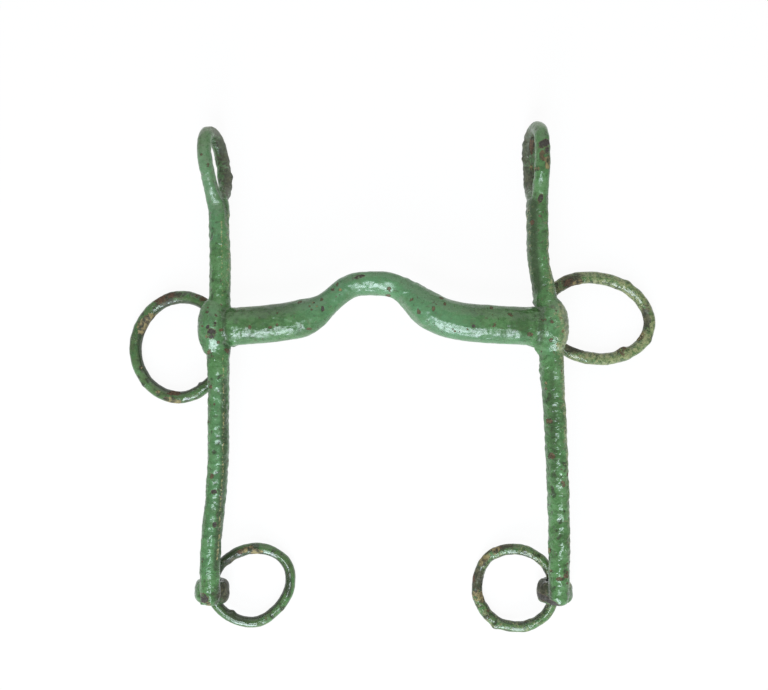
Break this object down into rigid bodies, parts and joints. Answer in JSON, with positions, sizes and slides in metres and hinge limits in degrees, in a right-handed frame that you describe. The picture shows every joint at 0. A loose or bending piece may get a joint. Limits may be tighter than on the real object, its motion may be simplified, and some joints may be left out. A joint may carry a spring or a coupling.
{
  "type": "horse bit",
  "caption": "Fixed-cheek curb bit with a low ported mouthpiece, long upper eyes, loose mouth rings behind the bosses and loose rein rings at the lower ends",
  "frame": {"origin": "under the middle of the whole bit, on the surface that it lies on", "axes": "the bit lies on its back: +X towards the right cheek of the picture, +Y towards the upper eyes, +Z towards the front"},
  "size_m": [0.2258, 0.2168, 0.0245],
  "materials": {
    "glossy_green_paint": "thick glossy green paint, smooth, with a few small rust-brown chips",
    "green_paint": "thick glossy green paint over pitted forged iron, chipped to dark grey metal, with rust specks",
    "worn_green_paint": "worn green paint over rough round wire, with ochre and rust-brown patches"
  },
  "bodies": {
    "bit": {"mouthpiece": "glossy_green_paint", "left_shank": "green_paint", "left_upper_eye": "green_paint", "left_boss": "green_paint", "left_rein_eye": "green_paint", "right_shank": "green_paint", "right_upper_eye": "green_paint", "right_boss": "green_paint", "right_rein_eye": "green_paint"},
    "left_mouth_ring": {"left_mouth_ring": "worn_green_paint"},
    "right_mouth_ring": {"right_mouth_ring": "worn_green_paint"},
    "left_rein_ring": {"left_rein_ring": "worn_green_paint"},
    "right_rein_ring": {"right_rein_ring": "worn_green_paint"}
  },
  "joints": [
    {"name": "left_mouth_ring_swing", "type": "hinge", "parent": "bit", "child": "left_mouth_ring", "pos_m": [-0.07202, 0.01953, 0.00602], "axis": [0, 1, 0], "range_deg": [-170, 20]},
    {"name": "right_mouth_ring_swing", "type": "hinge", "parent": "bit", "child": "right_mouth_ring", "pos_m": [0.06408, 0.02432, 0.00602], "axis": [0, -1, 0], "range_deg": [-170, 20]},
    {"name": "left_rein_ring_swing", "type": "hinge", "parent": "bit", "child": "left_rein_ring", "pos_m": [-0.07672, -0.08997, 0.00696], "axis": [0, -1, 0], "range_deg": [-210, 45]},
    {"name": "right_rein_ring_swing", "type": "hinge", "parent": "bit", "child": "right_rein_ring", "pos_m": [0.06908, -0.08997, 0.00696], "axis": [0, 1, 0], "range_deg": [-210, 45]}
  ]
}
